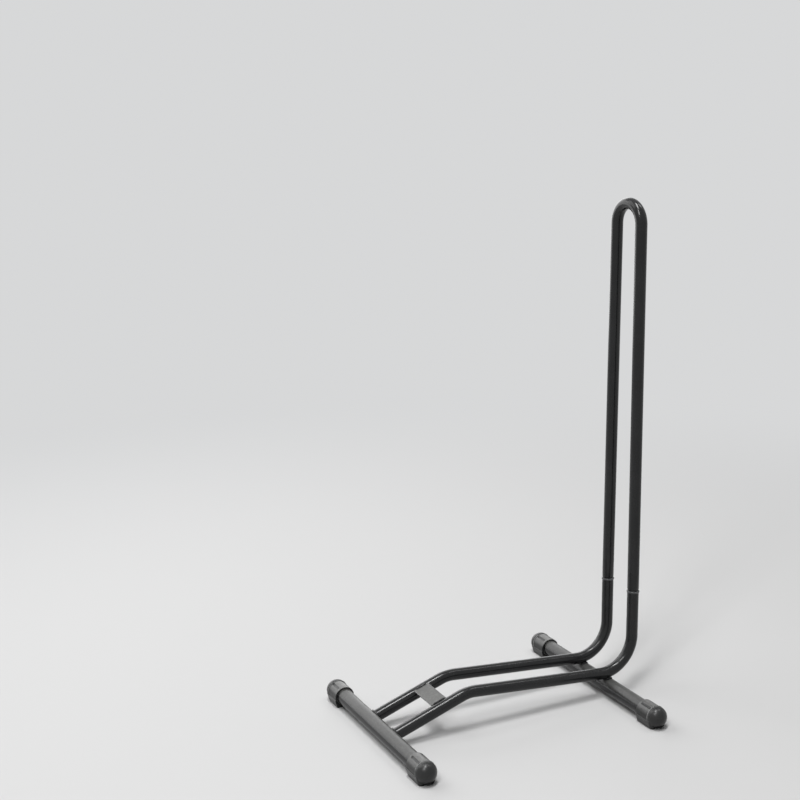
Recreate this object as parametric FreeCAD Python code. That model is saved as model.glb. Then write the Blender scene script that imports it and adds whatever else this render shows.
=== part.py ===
import FreeCAD, Part
import math
import os

from FreeCAD import Vector

# Floor rack that holds one wheel upright. Two bent lower rails are welded to two cross tubes,
# and an upright loop plugs into the ends of the rails and lifts off.
# Millimetres, +Z up. The origin is on the floor under the middle of the overall box.
# The uprights stand at the +X end. The near side is -Y and the far side is +Y.

# Overall
total_height = 768.0          # floor to the top of the loop
rail_spacing = 67.0           # between the two rails' centrelines, and the two sockets'
loop_top_spacing = 60.0       # between the loop's legs where they run into the bend
front_to_upright = 425.0      # front cross tube's axis to the uprights' axes
rear_to_upright = 45.0        # rear cross tube's axis to the uprights' axes
axis_height = 16.5            # cross tubes' axes above the floor

# Loop and rails: one size of round tube
tube_radius = 9.0
tube_wall = 1.2

# Cross tubes
front_cross_length = 300.0
rear_cross_length = 320.0
cross_radius = 12.5
cross_wall = 1.5

# Rails
joint_height = 165.0          # floor to the mouth of a rail's socket
rear_bend_radius = 54.0
front_bend_radius = 60.0
front_slope_run = 131.0       # front cross tube's axis back to the front bend's corner
front_bend_height = 58.5      # front bend's corner above the floor
front_meet_rise = 2.0         # front cross tube's axis up to where the rails' centrelines meet its side
lip_radius = 1.6              # rolled lip round the socket's mouth

# Plug-in ends of the loop
spigot_length = 38.0
spigot_clearance = 0.1        # all round, inside the rail's bore
spigot_chamfer = 1.2
neck_height = 3.0             # cone above the spigot, up into the leg
neck_lap = 0.5                # how far the cone reaches up inside the leg's wall
neck_step = 0.3               # cone's upper edge in from the leg's outside, and out from its bore

# Flat bar that the tyre stands on
plate_width = 25.0            # along the rails
plate_thickness = 3.0
plate_up_slope = 67.0         # front cross tube's side to the bar's lower edge, along the slope
plate_lift = 5.5              # bar's underside above the rails' centrelines
plate_end_overlap = 4.0       # how far each end reaches over its rail
plate_corner = 1.0            # rounding of the bar's long edges

# End caps
cap_clearance = 0.1           # all round, outside the cross tube
cap_wall = 2.9
cap_grip = 30.0               # length of tube inside a cap
cap_end_wall = 2.0
dome_depth = 13.0
dome_shoulder = 9.0           # radius of the dome's outer curve
dome_extra = 0.5              # dome's radius beyond the sleeve's
rim_extra = 0.9               # raised rim's radius beyond the sleeve's
rim_width = 1.6
mouth_chamfer = 0.9
foot_top_width = 33.0
foot_bottom_width = 25.0
foot_ledge_drop = 3.5         # tube's axis down to the ledge along the foot
foot_end_reach = 4.0          # foot's end beyond the sleeve
foot_end_radius = 6.0
foot_edge_radius = 1.0
channel_width = 8.0           # shallow channel that parts the foot's two treads
channel_depth = 1.2
arch_width = 13.0             # opening between the treads at the closed end
arch_height = 5.5
flute_width = 4.4             # long shallow flutes on the sleeve's shoulders
flute_depth = 0.6
flute_margin = 5.0
flute_angles = (31.0, -31.0)  # from the top of the sleeve

# Weld beads
weld_gap = 0.05               # between a bead and the metal it lies on
weld_leg = 2.6
weld_reach = 8.0              # how far a front bead runs back past the point where the rail meets the tube
rear_bead_radius = 3.0
rear_bead_length = 14.0
plate_bead_radius = 1.7
plate_bead_length = 19.0

# Worked out
cap_radius = cross_radius + cap_clearance + cap_wall
bore_radius = tube_radius - tube_wall
spigot_radius = bore_radius - spigot_clearance
cap_half_width = max(cap_radius + rim_extra, foot_top_width / 2)
x_front_edge = -front_to_upright - cap_half_width
x_rear_edge = max(tube_radius + lip_radius, cap_half_width - rear_to_upright)
upright_x = -(x_front_edge + x_rear_edge) / 2
front_bend_reach = front_to_upright - front_slope_run
cross_x = {"front": upright_x - front_to_upright, "rear": upright_x - rear_to_upright}
cross_lengths = {"front": front_cross_length, "rear": rear_cross_length}
sides = {"near": -1, "far": 1}


def rounded(start, corner, end, radius):
    """Arc of the given radius that rounds the corner between two straight runs."""
    back = (start - corner).normalize()
    onward = (end - corner).normalize()
    half = back.getAngle(onward) / 2
    setback = radius / math.tan(half)
    inward = (back + onward).normalize()
    middle = corner + inward * (radius / math.sin(half) - radius)
    return Part.Arc(corner + back * setback, middle, corner + onward * setback)


def bent_path(points, radii):
    """Wire of straight runs through the points, with each inner corner rounded."""
    edges = []
    here = points[0]
    for i, radius in enumerate(radii):
        arc = rounded(points[i], points[i + 1], points[i + 2], radius)
        edges.append(Part.makeLine(here, arc.StartPoint))
        edges.append(arc.toShape())
        here = arc.EndPoint
    edges.append(Part.makeLine(here, points[-1]))
    return Part.Wire(edges)


def round_bar(path, radius):
    """Solid bar of round section along a path."""
    first = path.Edges[0]
    start = first.valueAt(first.FirstParameter)
    direction = first.tangentAt(first.FirstParameter)
    ring = Part.Wire([Part.makeCircle(radius, start, direction)])
    return path.makePipeShell([ring], True, False)


def spun(edges, base, axis):
    """Solid turned from a closed outline in the plane y = 0 about the axis through base."""
    solid = Part.Face(Part.Wire(edges)).revolve(Vector(0, 0, 0), Vector(0, 0, 1), 360)
    solid.Placement = FreeCAD.Placement(base, FreeCAD.Rotation(Vector(0, 0, 1), axis))
    return solid


def turned(profile, base, axis):
    """Solid turned from (radius, height) corners about the axis through base."""
    corners = [Vector(radius, 0, height) for radius, height in profile]
    return spun(Part.makePolygon(corners + corners[:1]).Edges, base, axis)


def rod(radius, start, end):
    """Solid cylinder from one point to another."""
    return Part.makeCylinder(radius, (end - start).Length, start, end - start)


def capsule(radius, start, end):
    """Cylinder with a ball at each end."""
    shape = rod(radius, start, end)
    shape = shape.fuse(Part.makeSphere(radius, start))
    return shape.fuse(Part.makeSphere(radius, end)).removeSplitter()


def side_y(side):
    return sides[side] * rail_spacing / 2


def rail_points():
    """Corners of a rail's centreline in the plane y = 0, from the socket to the front."""
    rest_distance = rear_bend_radius + cross_radius + tube_radius
    ahead = rear_to_upright - rear_bend_radius
    centre_z = axis_height + math.sqrt(rest_distance ** 2 - ahead ** 2)
    dx = rear_bend_radius - front_bend_reach
    dz = front_bend_height - centre_z
    turn = math.atan2(dz, dx) + math.acos(rear_bend_radius / math.hypot(dx, dz))
    touch_x = rear_bend_radius * (math.cos(turn) - 1)
    touch_z = centre_z + rear_bend_radius * math.sin(turn)
    fall = (front_bend_height - touch_z) / (front_bend_reach + touch_x)
    corner_z = touch_z + fall * touch_x
    top = Vector(upright_x, 0, joint_height)
    rear_corner = Vector(upright_x, 0, corner_z)
    front_corner = Vector(upright_x - front_bend_reach, 0, front_bend_height)
    side = math.sqrt(cross_radius ** 2 - front_meet_rise ** 2)
    meet = Vector(cross_x["front"] + side, 0, axis_height + front_meet_rise)
    return top, rear_corner, front_corner, meet


def slope_direction():
    """Unit vector up the front slope of the rails, and its normal."""
    top, rear_corner, front_corner, meet = rail_points()
    along = (front_corner - meet).normalize()
    return along, Vector(-along.z, 0, along.x)


def rail_path():
    top, rear_corner, front_corner, meet = rail_points()
    along, normal = slope_direction()
    end = meet - along * cross_radius
    return bent_path([top, rear_corner, front_corner, end], [rear_bend_radius, front_bend_radius])


def rail_bar(side, extra):
    """A rail's outside as a solid bar, grown all round by extra."""
    bar = round_bar(rail_path(), tube_radius + extra)
    bar.translate(Vector(0, side_y(side), 0))
    return bar


def cross_rod(end, radius):
    """Solid rod on a cross tube's axis, as long as the tube."""
    half = cross_lengths[end] / 2
    x = cross_x[end]
    return rod(radius, Vector(x, -half, axis_height), Vector(x, half, axis_height))


def make_rail(side):
    mouth = Vector(upright_x, side_y(side), joint_height)
    bore = round_bar(rail_path(), bore_radius)
    bore.translate(Vector(0, side_y(side), 0))
    lip = Part.makeTorus(tube_radius, lip_radius, mouth - Vector(0, 0, lip_radius))
    rail = rail_bar(side, 0).fuse(lip)
    rail = rail.cut(cross_rod("front", cross_radius + weld_gap))
    rail = rail.cut(bore)
    return rail.removeSplitter()


def make_cross_tube(end):
    return cross_rod(end, cross_radius).cut(cross_rod(end, cross_radius - cross_wall))


def make_spigot(side):
    """Necked end of one leg: full size at the top, a slip fit in the rail's bore below."""
    inner = spigot_radius - tube_wall
    bottom = -spigot_length
    profile = [
        (inner, bottom),
        (spigot_radius - spigot_chamfer / 2, bottom),
        (spigot_radius, bottom + spigot_chamfer),
        (spigot_radius, 0),
        (tube_radius - neck_step, neck_height),
        (bore_radius + neck_step, neck_height),
        (inner, 0),
    ]
    return turned(profile, Vector(upright_x, side_y(side), joint_height), Vector(0, 0, 1))


def loop_path():
    """Centreline of the loop: two legs that lean in a little and run smoothly into the bend."""
    bend_radius = loop_top_spacing / 2
    crown = total_height - tube_radius - bend_radius
    foot = joint_height + neck_height - neck_lap
    half = rail_spacing / 2
    rise = crown - foot
    lean = math.atan2(half, rise) - math.asin(bend_radius / math.hypot(half, rise))
    across = bend_radius * math.cos(lean)
    up = crown + bend_radius * math.sin(lean)
    near_touch = Vector(upright_x, -across, up)
    far_touch = Vector(upright_x, across, up)
    summit = Vector(upright_x, 0, crown + bend_radius)
    return Part.Wire([
        Part.makeLine(Vector(upright_x, -half, foot), near_touch),
        Part.Arc(near_touch, summit, far_touch).toShape(),
        Part.makeLine(far_touch, Vector(upright_x, half, foot)),
    ])


def make_loop():
    path = loop_path()
    loop = round_bar(path, tube_radius).cut(round_bar(path, bore_radius))
    for side in sides:
        loop = loop.fuse(make_spigot(side))
    return loop.removeSplitter()


def plate_blank(extra):
    """The bar's box, grown all round by extra."""
    meet = rail_points()[3]
    along, normal = slope_direction()
    half = rail_spacing / 2 - tube_radius + plate_end_overlap + extra
    low = meet + along * (plate_up_slope - extra) + normal * (plate_lift - extra)
    box = Part.makeBox(plate_width + 2 * extra, 2 * half, plate_thickness + 2 * extra)
    turn = FreeCAD.Rotation(Vector(1, 0, 0), along)
    box.Placement = FreeCAD.Placement(Vector(low.x, -half, low.z), turn)
    return box


def make_plate():
    blank = plate_blank(0)
    long_edges = [edge for edge in blank.Edges if edge.Length > rail_spacing / 2]
    plate = blank.makeFillet(plate_corner, long_edges)
    for side in sides:
        plate = plate.cut(rail_bar(side, weld_gap))
    return plate


def foot_block(x, mouth, closed_end):
    """Two-tread foot under a cap, a wedge in end view with a rounded outer end."""
    top = axis_height - foot_ledge_drop
    wide = foot_top_width / 2
    narrow = foot_bottom_width / 2
    outline = [(-narrow, 0), (narrow, 0), (wide, top), (-wide, top)]
    corners = [Vector(x + across, mouth, up) for across, up in outline]
    wedge = Part.Face(Part.makePolygon(corners + corners[:1]))
    reach = closed_end + foot_end_reach
    wedge = wedge.extrude(Vector(0, reach - mouth, 0))
    lower_edges = [
        edge for edge in wedge.Edges
        if edge.Length > reach - mouth - 1 and edge.CenterOfMass.z < 1
    ]
    wedge = wedge.makeFillet(foot_edge_radius, lower_edges)
    plan = Part.makeBox(2 * wide, reach - mouth, top, Vector(x - wide, mouth, 0))
    end_edges = [
        edge for edge in plan.Edges
        if edge.CenterOfMass.y > reach - 1 and abs(edge.CenterOfMass.z - top / 2) < 1
    ]
    return wedge.common(plan.makeFillet(foot_end_radius, end_edges))


def cap_dome(x, closed_end):
    """Rounded closed end: a shoulder arc that runs smoothly into a flatter crown arc."""
    radius = cap_radius + dome_extra
    shoulder = Vector(radius - dome_shoulder, 0, 0)
    rise = shoulder.x ** 2 + dome_depth ** 2 - dome_shoulder ** 2
    crown_radius = rise / (2 * (dome_depth - dome_shoulder))
    crown = Vector(0, 0, dome_depth - crown_radius)
    leaning = (shoulder - crown).normalize()
    change = shoulder + leaning * dome_shoulder
    rim = Vector(radius, 0, 0)
    tip = Vector(0, 0, dome_depth)
    on_shoulder = shoulder + (leaning + Vector(1, 0, 0)).normalize() * dome_shoulder
    on_crown = crown + (leaning + Vector(0, 0, 1)).normalize() * crown_radius
    edges = [
        Part.makeLine(Vector(0, 0, 0), rim),
        Part.Arc(rim, on_shoulder, change).toShape(),
        Part.Arc(change, on_crown, tip).toShape(),
        Part.makeLine(tip, Vector(0, 0, 0)),
    ]
    return spun(edges, Vector(x, closed_end, axis_height), Vector(0, 1, 0))


def cap_flutes(x, mouth, closed_end):
    """Cutters for the long flutes on the sleeve's shoulders."""
    flutes = []
    for angle in flute_angles:
        depth = cap_radius + flute_width / 2 - flute_depth
        turn = math.radians(angle)
        across = x + depth * math.sin(turn)
        up = axis_height + depth * math.cos(turn)
        start = Vector(across, mouth + flute_margin, up)
        end = Vector(across, closed_end - flute_margin, up)
        flutes.append(capsule(flute_width / 2, start, end))
    return flutes


def make_far_cap(end):
    """Cap on the +Y end of a cross tube."""
    x = cross_x[end]
    tube_end = cross_lengths[end] / 2
    mouth = tube_end - cap_grip
    closed_end = tube_end + cap_end_wall
    axis_mouth = Vector(x, mouth, axis_height)
    axis_end = Vector(x, closed_end, axis_height)
    cap = rod(cap_radius, axis_mouth, axis_end)
    rim_start = axis_end - Vector(0, rim_width, 0)
    cap = cap.fuse(rod(cap_radius + rim_extra, rim_start, axis_end))
    cap = cap.fuse(cap_dome(x, closed_end))
    cap = cap.fuse(foot_block(x, mouth, closed_end))
    bore = cross_radius + cap_clearance
    cap = cap.cut(rod(bore, axis_mouth, Vector(x, tube_end, axis_height)))
    lead_in = Part.makeCone(bore + mouth_chamfer, bore, mouth_chamfer, axis_mouth, Vector(0, 1, 0))
    cap = cap.cut(lead_in)
    reach = closed_end + dome_depth + 1
    left = x - channel_width / 2
    channel = Part.makeBox(channel_width, reach - mouth + 1, channel_depth, Vector(left, mouth - 1, 0))
    cap = cap.cut(channel)
    arch_start = closed_end - cap_end_wall / 2
    arch_radius = (arch_width ** 2 / 4 + arch_height ** 2) / (2 * arch_height)
    low = arch_height - arch_radius
    cap = cap.cut(rod(arch_radius, Vector(x, arch_start, low), Vector(x, reach, low)))
    for flute in cap_flutes(x, mouth, closed_end):
        cap = cap.cut(flute)
    return cap


def make_cap(end, side):
    cap = make_far_cap(end)
    if sides[side] < 0:
        cap = cap.mirror(Vector(0, 0, 0), Vector(0, 1, 0))
    return cap


def front_welds():
    """A bead round each rail where it meets the side of the front cross tube."""
    meet = rail_points()[3]
    along, normal = slope_direction()
    profile = [
        (0, -weld_reach),
        (tube_radius + weld_leg, -weld_reach),
        (tube_radius + weld_leg, -weld_leg / 2),
        (tube_radius + weld_leg / 3, weld_leg),
        (0, weld_leg),
    ]
    beads = []
    for side in sides:
        bead = turned(profile, meet + Vector(0, side_y(side), 0), along)
        bead = bead.cut(rod_along_slope(side, weld_gap))
        bead = bead.cut(cross_rod("front", cross_radius + weld_gap))
        beads.append(outer_piece(bead))
    return Part.Compound(beads)


def rod_along_slope(side, extra):
    """The straight front slope of a rail as a bar that runs through the cross tube."""
    meet = rail_points()[3] + Vector(0, side_y(side), 0)
    along, normal = slope_direction()
    return rod(tube_radius + extra, meet - along * 3 * cross_radius, meet + along * 3 * cross_radius)


def outer_piece(shape):
    """The solid on the rail's side of the front cross tube."""
    return max(shape.Solids, key=lambda solid: solid.CenterOfMass.x)


def rear_welds():
    """Short beads in the crevice on both sides of each rail, on top of the rear cross tube."""
    beads = []
    offset = tube_radius * 0.8
    height = axis_height + cross_radius + rear_bead_radius * 0.4
    for side in sides:
        for turn in (-1, 1):
            y = side_y(side) + turn * offset
            half = rear_bead_length / 2 - rear_bead_radius
            start = Vector(cross_x["rear"] - half, y, height)
            bead = capsule(rear_bead_radius, start, start + Vector(2 * half, 0, 0))
            bead = bead.cut(rail_bar(side, weld_gap))
            bead = bead.cut(cross_rod("rear", cross_radius + weld_gap))
            beads.append(max(bead.Solids, key=lambda solid: solid.Volume))
    return Part.Compound(beads)


def plate_welds():
    """A bead along each end of the bar, on top of the rail that it rests against."""
    meet = rail_points()[3]
    along, normal = slope_direction()
    beads = []
    reach = rail_spacing / 2 - tube_radius + plate_end_overlap
    lift = tube_radius - plate_bead_radius * 0.2
    margin = (plate_width - plate_bead_length) / 2 + plate_bead_radius
    for side in sides:
        y = sides[side] * reach
        base = meet + normal * lift + Vector(0, y, 0)
        start = base + along * (plate_up_slope + margin)
        end = base + along * (plate_up_slope + plate_width - margin)
        bead = capsule(plate_bead_radius, start, end)
        bead = bead.cut(rail_bar(side, weld_gap))
        bead = bead.cut(plate_blank(weld_gap))
        beads.append(max(bead.Solids, key=lambda solid: solid.Volume))
    return Part.Compound(beads)


def all_parts():
    parts = {
        "upright_loop": make_loop(),
        "front_cross_tube": make_cross_tube("front"),
        "rear_cross_tube": make_cross_tube("rear"),
        "tyre_rest_plate": make_plate(),
        "front_rail_welds": front_welds(),
        "rear_rail_welds": rear_welds(),
        "plate_welds": plate_welds(),
    }
    for side in sides:
        parts[side + "_rail"] = make_rail(side)
        for end in cross_x:
            parts[end + "_" + side + "_end_cap"] = make_cap(end, side)
    return parts


os.makedirs("parts", exist_ok=True)
for name, shape in all_parts().items():
    shape.exportStep("parts/" + name + ".step")
    box = shape.BoundBox
    print(name, len(shape.Solids), "solid(s)", shape.isValid(), round(shape.Volume, 1),
          [round(v, 2) for v in (box.XMin, box.YMin, box.ZMin, box.XMax, box.YMax, box.ZMax)])
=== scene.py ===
import math

import bmesh
import bpy
from mathutils import Matrix, Vector, noise


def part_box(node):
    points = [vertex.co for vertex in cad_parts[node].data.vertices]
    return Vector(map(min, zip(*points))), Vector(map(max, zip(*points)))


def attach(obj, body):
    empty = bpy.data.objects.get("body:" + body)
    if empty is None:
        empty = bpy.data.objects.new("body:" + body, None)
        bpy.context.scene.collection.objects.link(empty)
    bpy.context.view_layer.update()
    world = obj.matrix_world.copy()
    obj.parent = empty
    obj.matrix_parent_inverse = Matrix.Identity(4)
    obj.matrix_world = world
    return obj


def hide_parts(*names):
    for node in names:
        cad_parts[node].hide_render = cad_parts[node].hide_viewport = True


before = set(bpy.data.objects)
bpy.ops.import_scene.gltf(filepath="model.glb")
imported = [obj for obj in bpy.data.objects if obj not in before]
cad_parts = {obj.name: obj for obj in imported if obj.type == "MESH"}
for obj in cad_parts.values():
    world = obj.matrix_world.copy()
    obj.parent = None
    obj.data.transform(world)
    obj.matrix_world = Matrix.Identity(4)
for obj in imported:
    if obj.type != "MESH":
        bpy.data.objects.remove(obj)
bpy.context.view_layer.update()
print("frame loaded")

mm = 0.001
sliver = 0.01 * mm      # finer than anything that is made here

loopLow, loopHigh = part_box("upright_loop")
railLow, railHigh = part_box("near_rail")
frontLow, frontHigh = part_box("front_cross_tube")
rearLow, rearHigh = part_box("rear_cross_tube")
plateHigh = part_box("tyre_rest_plate")[1]

tubeRadius = (loopHigh.x - loopLow.x) / 2
crossRadius = (frontHigh.x - frontLow.x) / 2
uprightX = (loopHigh.x + loopLow.x) / 2
crossX = {"front": (frontLow.x + frontHigh.x) / 2, "rear": (rearLow.x + rearHigh.x) / 2}
crossHalf = {"front": frontHigh.y, "rear": rearHigh.y}
axisHeight = (frontLow.z + frontHigh.z) / 2
jointHeight = railHigh.z
railY = -(railLow.y + railHigh.y) / 2
sides = {"near": -1, "far": 1}


def bentPath(points, radii):
    # straight runs through the points, with each inner corner rounded
    runs = []
    here = points[0]
    for i, radius in enumerate(radii):
        corner = points[i + 1]
        back = (points[i] - corner).normalized()
        onward = (points[i + 2] - corner).normalized()
        half = back.angle(onward) / 2
        setback = radius / math.tan(half)
        start = corner + back * setback
        centre = corner + (back + onward).normalized() * (radius / math.sin(half))
        axis = (-back).cross(onward).normalized()
        runs.append({"kind": "line", "start": here, "end": start})
        runs.append({"kind": "arc", "start": start, "centre": centre, "axis": axis,
                     "turn": math.pi - 2 * half})
        here = corner + onward * setback
    runs.append({"kind": "line", "start": here, "end": points[-1]})
    return runs


def runLength(run):
    if run["kind"] == "line":
        return (run["end"] - run["start"]).length
    return (run["start"] - run["centre"]).length * run["turn"]


def pathLength(runs):
    return sum(runLength(run) for run in runs)


def pointOn(runs, distance):
    # place, direction of travel, and how far through a bend it is (0 on a straight)
    for run in runs:
        length = runLength(run)
        if distance <= length + 1e-9 or run is runs[-1]:
            break
        distance -= length
    if run["kind"] == "line":
        heading = (run["end"] - run["start"]).normalized()
        return run["start"] + heading * distance, heading, 0.0
    arm = run["start"] - run["centre"]
    turned = Matrix.Rotation(distance / arm.length, 3, run["axis"]) @ arm
    return run["centre"] + turned, run["axis"].cross(turned).normalized(), distance / length


def ringStops(runs, bendStep, straightStep):
    # distances along the path at which a tube needs a ring
    stops = [0.0]
    for run in runs:
        length = runLength(run)
        step = straightStep if run["kind"] == "line" else bendStep
        count = max(1, math.ceil(length / step))
        start = stops[-1]
        stops += [start + length * (i + 1) / count for i in range(count)]
    return stops


def ringMatrix(runs, distance, radius, side, flatten):
    # puts a unit circle square to the path, a little flat in a bend
    place, heading, through = pointOn(runs, distance)
    squeeze = flatten * math.sin(math.pi * through)
    spread = 0.6 * squeeze      # the bend widens less than it flattens
    across = side.cross(heading).normalized()
    turn = Matrix((side, across, heading)).transposed().to_4x4()
    size = Matrix.Diagonal((radius * (1 + spread), radius * (1 - squeeze), 1, 1))
    return Matrix.Translation(place) @ turn @ size


def markRing(bm, ring, distance):
    # keeps each point's place round and along the tube, for the pattern of its finish
    aroundLayer = bm.verts.layers.float["around"]
    alongLayer = bm.verts.layers.float["along"]
    for i, v in enumerate(ring):
        v[aroundLayer] = i / len(ring)
        v[alongLayer] = distance


def startTube(segments):
    bm = bmesh.new()
    bm.verts.layers.float.new("around")
    bm.verts.layers.float.new("along")
    made = bmesh.ops.create_circle(bm, cap_ends=False, radius=1.0, segments=segments)
    return bm, made["verts"]


def ringEdges(bm, ring):
    return [bm.edges.get((ring[i - 1], v)) for i, v in enumerate(ring)]


def pushRing(bm, ring):
    # extrudes the open ring and returns the new one, in the same order
    made = bmesh.ops.extrude_edge_only(bm, edges=ringEdges(bm, ring))
    fresh = [v for v in made["geom"] if isinstance(v, bmesh.types.BMVert)]
    partner = {}
    for v in fresh:
        for edge in v.link_edges:
            partner[edge.other_vert(v)] = v
    return [partner[v] for v in ring]


def closeRing(bm, ring):
    bmesh.ops.edgeloop_fill(bm, edges=ringEdges(bm, ring))


def moveRing(bm, ring, matrix, last):
    bmesh.ops.transform(bm, matrix=matrix @ last.inverted(), verts=ring)


def sweepTube(runs, profile, side, segments, flatten=0.0):
    # profile is a list of (distance along the path, radius), closed on itself to make a walled tube
    bm, ring = startTube(segments)
    first = ring
    last = Matrix.Identity(4)
    for i, (distance, radius) in enumerate(profile):
        if i:
            ring = pushRing(bm, ring)
        matrix = ringMatrix(runs, distance, radius, side, flatten)
        moveRing(bm, ring, matrix, last)
        markRing(bm, ring, distance)
        last = matrix
    bmesh.ops.bridge_loops(bm, edges=ringEdges(bm, first) + ringEdges(bm, ring))
    return bm


def addUv(bm, girth):
    # u runs round the tube and v along it, both in metres
    aroundLayer = bm.verts.layers.float["around"]
    alongLayer = bm.verts.layers.float["along"]
    uvLayer = bm.loops.layers.uv.new("alongTube")
    for face in bm.faces:
        turns = [loop.vert[aroundLayer] for loop in face.loops]
        wraps = max(turns) - min(turns) > 0.5
        for loop, turn in zip(face.loops, turns):
            turn = turn + 1 if wraps and turn < 0.5 else turn
            loop[uvLayer].uv = (turn * girth, loop.vert[alongLayer])


def faceOutwards(bm):
    # a thin or ring-shaped shell can come out inside out, so each one's volume decides
    bmesh.ops.recalc_face_normals(bm, faces=bm.faces)
    seen = set()
    for first in list(bm.faces):
        if first in seen:
            continue
        seen.add(first)
        shell = [first]
        for face in shell:
            for beside in [f for edge in face.edges for f in edge.link_faces]:
                if beside not in seen:
                    seen.add(beside)
                    shell.append(beside)
        volume = sum(f.calc_center_median().dot(f.normal) * f.calc_area() for f in shell)
        if volume < 0:
            bmesh.ops.reverse_faces(bm, faces=shell)


def addPiece(name, bm, body, node, materials, sharpAngle=35):
    faceOutwards(bm)
    mesh = bpy.data.meshes.new(name)
    bm.to_mesh(mesh)
    bm.free()
    for material in materials:
        mesh.materials.append(material)
    mesh.shade_smooth()
    mesh.set_sharp_from_angle(angle=math.radians(sharpAngle))
    piece = bpy.data.objects.new(name, mesh)
    bpy.context.scene.collection.objects.link(piece)
    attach(piece, body)
    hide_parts(node)


def newMaterial(name):
    material = bpy.data.materials.new(name)
    material.use_nodes = True
    tree = material.node_tree
    tree.nodes.clear()
    output = tree.nodes.new("ShaderNodeOutputMaterial")
    shader = tree.nodes.new("ShaderNodeBsdfPrincipled")
    tree.links.new(shader.outputs[0], output.inputs[0])
    return material, tree, shader


def join(tree, source, target):
    tree.links.new(source, target)


def addNoise(tree, vector, scale, detail=2.0, roughness=0.5, distortion=0.0):
    node = tree.nodes.new("ShaderNodeTexNoise")
    node.inputs["Scale"].default_value = scale
    node.inputs["Detail"].default_value = detail
    node.inputs["Roughness"].default_value = roughness
    node.inputs["Distortion"].default_value = distortion
    join(tree, vector, node.inputs["Vector"])
    return node.outputs["Fac"]


def addRamp(tree, value, low, high, fromValue=0.0, toValue=1.0):
    node = tree.nodes.new("ShaderNodeMapRange")
    node.interpolation_type = "SMOOTHSTEP"
    for socket, number in zip(("From Min", "From Max", "To Min", "To Max"), (low, high, fromValue, toValue)):
        node.inputs[socket].default_value = number
    join(tree, value, node.inputs["Value"])
    return node.outputs["Result"]


def addMath(tree, kind, first, second):
    node = tree.nodes.new("ShaderNodeMath")
    node.operation = kind
    for i, value in enumerate((first, second)):
        if isinstance(value, (int, float)):
            node.inputs[i].default_value = value
        else:
            join(tree, value, node.inputs[i])
    return node.outputs[0]


def addMix(tree, factor, first, second):
    node = tree.nodes.new("ShaderNodeMix")
    node.data_type = "RGBA"
    join(tree, factor, node.inputs["Factor"])
    for socket, value in ((node.inputs[6], first), (node.inputs[7], second)):
        if isinstance(value, tuple):
            socket.default_value = (*value, 1.0)
        else:
            join(tree, value, socket)
    return node.outputs[2]


def addStretch(tree, vector, scale):
    node = tree.nodes.new("ShaderNodeMapping")
    node.inputs["Scale"].default_value = scale
    join(tree, vector, node.inputs["Vector"])
    return node.outputs["Vector"]


def addBump(tree, height, depth, strength, before=None):
    node = tree.nodes.new("ShaderNodeBump")
    node.inputs["Distance"].default_value = depth
    node.inputs["Strength"].default_value = strength
    join(tree, height, node.inputs["Height"])
    if before is not None:
        join(tree, before, node.inputs["Normal"])
    return node.outputs["Normal"]


def coords(tree, output):
    node = tree.nodes.new("ShaderNodeTexCoord")
    return node.outputs[output]


def topness(tree):
    # 0 below and on the sides, 1 on top, from the piece's own normal
    node = tree.nodes.new("ShaderNodeSeparateXYZ")
    join(tree, coords(tree, "Normal"), node.inputs[0])
    return node.outputs["Z"]


blackCoat = {
    "colour": (0.0075, 0.0078, 0.0082),
    "paler": (0.013, 0.0133, 0.0138),
    "dustAndSheen": (0.172, 0.173, 0.167),
    "dustAndSheenAmount": 0.05,
    "film": 0.0,                 # the part of the dust and painted sheen that lies as an even film
    "rub": (0.075, 0.076, 0.078),
    "rubAmount": 0.55,
    "gloss": (0.17, 0.26),       # roughness from the smooth to the hazy patches
    "dustRoughness": 0.4,        # what full dust and painted sheen adds to it, and full rubbing
    "rubRoughness": 0.25,
    "shine": 0.36,
    "patchScale": 16.0,          # scales are per metre
    "hazeScale": 38.0,
    "speckScale": 240.0,
    "rubScale": 30.0,
    "rubLines": (2600.0, 26.0, 1.0),
    "edgeScale": 260.0,
    "peel": 900.0,               # orange peel
    "peelDepth": 0.000012,
    "grain": 5200.0,
    "grainDepth": 0.0000012,
    "scratchDepth": 0.00002,
}


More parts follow.
